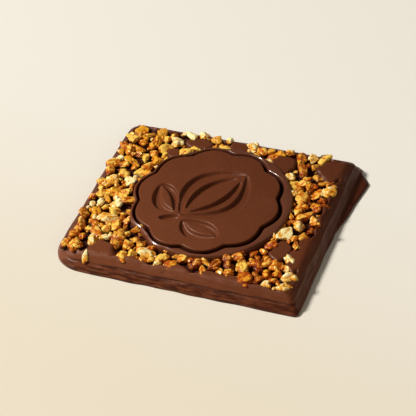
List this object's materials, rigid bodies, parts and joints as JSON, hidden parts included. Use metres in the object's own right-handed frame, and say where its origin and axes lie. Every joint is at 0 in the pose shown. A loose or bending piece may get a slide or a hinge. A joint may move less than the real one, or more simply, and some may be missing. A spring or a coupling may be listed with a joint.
{
  "type": "chocolate bar",
  "caption": "Thin rectangular milk chocolate tablet with sloping walls, a raised scalloped medallion and a border of caramelised grains and chopped nuts.",
  "frame": {"origin": "middle of the flat back, under the middle of the top face", "axes": "+X along the long side, +Y from the front wall to the back wall, +Z out of the face with the medallion"},
  "size_m": [0.0919, 0.0742, 0.0078],
  "materials": {
    "milk_chocolate": "satin milk chocolate, slightly glossy along moulded edges",
    "caramelised_grain": "honey to amber caramel glaze over a crumbly puffed grain",
    "chopped_nut": "cream to golden chopped nut with a thin sugar glaze"
  },
  "bodies": {
    "root": {"chocolate_bar": "milk_chocolate"}
  },
  "joints": []
}
